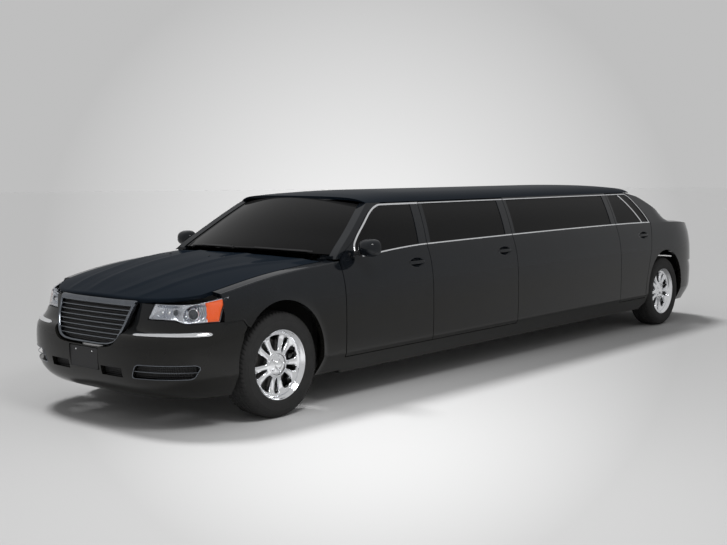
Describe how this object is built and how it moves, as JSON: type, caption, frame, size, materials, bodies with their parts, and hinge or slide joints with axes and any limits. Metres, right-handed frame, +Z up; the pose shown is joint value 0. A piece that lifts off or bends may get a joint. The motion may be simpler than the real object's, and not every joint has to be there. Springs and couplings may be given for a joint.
{
  "type": "stretch limousine",
  "caption": "Stretch limousine with hinged doors, bonnet and boot lid, free wheels, coupled front steering and a hollow cabin.",
  "frame": {"origin": "on the ground, under the middle of the car", "axes": "+X to the rear, +Y to the car's right-hand side, +Z up"},
  "size_m": [7.6989, 2.1766, 1.4901],
  "materials": {
    "paint": "gloss",
    "glass": "gloss",
    "lamp_lens": "gloss",
    "tail_lens": "gloss",
    "chrome": "polished",
    "tyre": "matte",
    "cast_iron": "rough",
    "steel": "satin",
    "underbody": "matte",
    "leather": "satin",
    "trim": "matte"
  },
  "bodies": {
    "body": {"body_side_left": "paint", "body_side_right": "paint", "rear_quarter_left": "paint", "rear_quarter_right": "paint", "glass_fixed_left": "glass", "glass_fixed_right": "glass", "front_bumper": "paint", "fender_left": "paint", "fender_right": "paint", "headlamps": "lamp_lens", "roof": "paint", "windscreen": "glass", "rear_window": "glass", "rear_bumper": "paint", "tail_lamps": "tail_lens", "front_frame": "steel", "engine_block": "cast_iron", "floor_pan": "underbody", "bulkhead": "underbody", "gearbox_and_shaft": "cast_iron", "rear_axle": "cast_iron", "exhaust": "steel", "front_seats": "leather", "lounge_seat": "leather", "instrument_panel": "trim"},
    "bonnet": {"bonnet": "paint", "grille": "chrome"},
    "boot_lid": {"boot_lid": "paint"},
    "door_front_left": {"door_front_left": "paint", "glass_front_left": "glass", "mirror_left": "paint"},
    "door_second_left": {"door_second_left": "paint", "glass_second_left": "glass"},
    "door_rear_left": {"door_rear_left": "paint", "glass_rear_left": "glass"},
    "knuckle_left": {"knuckle_left": "cast_iron"},
    "door_front_right": {"door_front_right": "paint", "glass_front_right": "glass", "mirror_right": "paint"},
    "door_second_right": {"door_second_right": "paint", "glass_second_right": "glass"},
    "door_rear_right": {"door_rear_right": "paint", "glass_rear_right": "glass"},
    "knuckle_right": {"knuckle_right": "cast_iron"},
    "wheel_front_left": {"wheel_front_left": "chrome", "tyre_front_left": "tyre"},
    "wheel_front_right": {"wheel_front_right": "chrome", "tyre_front_right": "tyre"},
    "wheel_rear_left": {"wheel_rear_left": "chrome", "tyre_rear_left": "tyre"},
    "wheel_rear_right": {"wheel_rear_right": "chrome", "tyre_rear_right": "tyre"}
  },
  "joints": [
    {"name": "door_front_left_hinge", "type": "hinge", "parent": "body", "child": "door_front_left", "pos_m": [-2.178, -0.922, 0.63], "axis": [0, 0, -1], "range_deg": [0, 65]},
    {"name": "door_second_left_hinge", "type": "hinge", "parent": "body", "child": "door_second_left", "pos_m": [-1.158, -0.922, 0.63], "axis": [0, 0, -1], "range_deg": [0, 65]},
    {"name": "door_rear_left_hinge", "type": "hinge", "parent": "body", "child": "door_rear_left", "pos_m": [1.902, -0.922, 0.63], "axis": [0, 0, -1], "range_deg": [0, 65]},
    {"name": "steering_left", "type": "hinge", "parent": "body", "child": "knuckle_left", "pos_m": [-2.925, -0.7, 0.358], "axis": [0, 0, 1], "range_deg": [-33, 33]},
    {"name": "door_front_right_hinge", "type": "hinge", "parent": "body", "child": "door_front_right", "pos_m": [-2.178, 0.922, 0.63], "axis": [0, 0, 1], "range_deg": [0, 65]},
    {"name": "door_second_right_hinge", "type": "hinge", "parent": "body", "child": "door_second_right", "pos_m": [-1.158, 0.922, 0.63], "axis": [0, 0, 1], "range_deg": [0, 65]},
    {"name": "door_rear_right_hinge", "type": "hinge", "parent": "body", "child": "door_rear_right", "pos_m": [1.902, 0.922, 0.63], "axis": [0, 0, 1], "range_deg": [0, 65]},
    {"name": "steering_right", "type": "hinge", "parent": "body", "child": "knuckle_right", "pos_m": [-2.925, 0.7, 0.358], "axis": [0, 0, 1], "range_deg": [-33, 33]},
    {"name": "wheel_front_left_spin", "type": "hinge", "parent": "knuckle_left", "child": "wheel_front_left", "pos_m": [-2.925, -0.805, 0.358], "axis": [0, 1, 0], "continuous": true},
    {"name": "wheel_front_right_spin", "type": "hinge", "parent": "knuckle_right", "child": "wheel_front_right", "pos_m": [-2.925, 0.805, 0.358], "axis": [0, 1, 0], "continuous": true},
    {"name": "wheel_rear_left_spin", "type": "hinge", "parent": "body", "child": "wheel_rear_left", "pos_m": [2.775, -0.805, 0.358], "axis": [0, 1, 0], "continuous": true},
    {"name": "wheel_rear_right_spin", "type": "hinge", "parent": "body", "child": "wheel_rear_right", "pos_m": [2.775, 0.805, 0.358], "axis": [0, 1, 0], "continuous": true},
    {"name": "bonnet_hinge", "type": "hinge", "parent": "body", "child": "bonnet", "pos_m": [-2.47, 0, 0.96], "axis": [0, 1, 0], "range_deg": [0, 50]},
    {"name": "boot_lid_hinge", "type": "hinge", "parent": "body", "child": "boot_lid", "pos_m": [3.116, 0, 1.06], "axis": [0, -1, 0], "range_deg": [0, 70]}
  ],
  "couplings": [
    {"joint": "steering_right", "follows": "steering_left", "ratio": 1}
  ]
}
